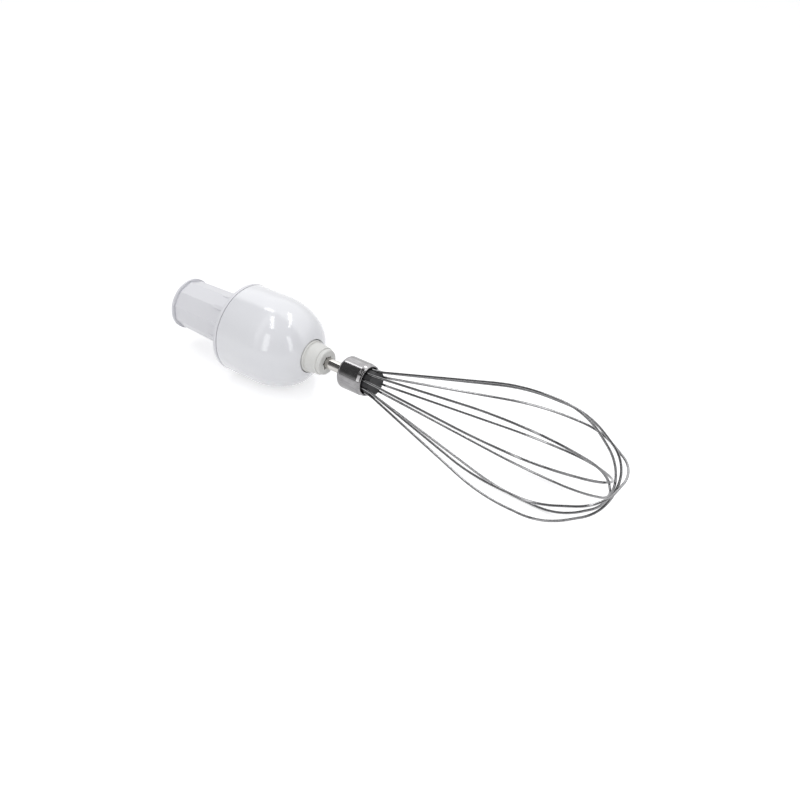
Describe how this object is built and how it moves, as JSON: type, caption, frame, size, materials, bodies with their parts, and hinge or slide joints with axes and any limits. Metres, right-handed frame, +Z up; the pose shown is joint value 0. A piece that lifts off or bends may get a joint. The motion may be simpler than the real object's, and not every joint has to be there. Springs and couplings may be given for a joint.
{
  "type": "immersion blender whisk attachment",
  "caption": "Whisk attachment for an immersion blender: white reduction gearbox with a keyed coupling neck and a pull-out balloon whisk of nested wire loops",
  "frame": {"origin": "centre of the coupling neck's open end, on the spin axis", "axes": "+X runs along the spin axis from the coupling neck to the tip of the whisk, +Z is up as the attachment lies on its side, +Y completes the right-handed frame"},
  "size_m": [0.2782, 0.0609, 0.0531],
  "materials": {
    "neck_plastic": "satin cool white moulding",
    "housing_plastic": "glossy cool white moulding",
    "collar_plastic": "satin warm off-white",
    "gear_plastic": "natural nylon",
    "coupling_plastic": "black glass-filled nylon",
    "bush_bronze": "sintered bronze",
    "inner_steel": "ground steel",
    "shaft_steel": "bright ground steel",
    "ferrule_chrome": "polished with fine brushing",
    "hub_plastic": "black satin",
    "wire_steel": "polished stainless wire"
  },
  "bodies": {
    "gearbox": {"coupling_cover": "neck_plastic", "gear_housing": "housing_plastic", "ring_gear": "gear_plastic", "input_bush": "bush_bronze", "input_washer": "inner_steel", "nose_bush": "bush_bronze"},
    "input": {"input_shaft": "inner_steel", "input_coupling": "coupling_plastic", "input_clip": "inner_steel", "sun_gear": "inner_steel"},
    "output": {"planet_carrier": "coupling_plastic", "cage_plate": "coupling_plastic", "planet_pin_1": "inner_steel", "planet_pin_2": "inner_steel", "planet_pin_3": "inner_steel", "output_collar": "collar_plastic", "thrust_washer": "bush_bronze"},
    "planet_1": {"planet_gear_1": "gear_plastic"},
    "planet_2": {"planet_gear_2": "gear_plastic"},
    "planet_3": {"planet_gear_3": "gear_plastic"},
    "whisk": {"whisk_shaft": "shaft_steel", "ferrule": "ferrule_chrome", "wire_hub": "hub_plastic", "wire_loop_1": "wire_steel", "wire_loop_2": "wire_steel", "wire_loop_3": "wire_steel", "wire_loop_4": "wire_steel", "wire_loop_5": "wire_steel"}
  },
  "joints": [
    {"name": "output_spin", "type": "hinge", "parent": "gearbox", "child": "output", "pos_m": [0.084, 0, 0], "axis": [1, 0, 0], "continuous": true},
    {"name": "input_spin", "type": "hinge", "parent": "gearbox", "child": "input", "pos_m": [0.04, 0, 0], "axis": [1, 0, 0], "continuous": true},
    {"name": "planet_1_spin", "type": "hinge", "parent": "output", "child": "planet_1", "pos_m": [0.053, 0, 0.01155], "axis": [1, 0, 0], "continuous": true},
    {"name": "planet_2_spin", "type": "hinge", "parent": "output", "child": "planet_2", "pos_m": [0.053, -0.01, -0.00577], "axis": [1, 0, 0], "continuous": true},
    {"name": "planet_3_spin", "type": "hinge", "parent": "output", "child": "planet_3", "pos_m": [0.053, 0.01, -0.00577], "axis": [1, 0, 0], "continuous": true},
    {"name": "whisk_pull", "type": "slide", "parent": "output", "child": "whisk", "axis": [1, 0, 0], "range_m": [0, 0.0215]}
  ],
  "couplings": [
    {"joint": "input_spin", "follows": "output_spin", "ratio": 5.5},
    {"joint": "planet_1_spin", "follows": "output_spin", "ratio": -2.5714},
    {"joint": "planet_2_spin", "follows": "output_spin", "ratio": -2.5714},
    {"joint": "planet_3_spin", "follows": "output_spin", "ratio": -2.5714}
  ]
}
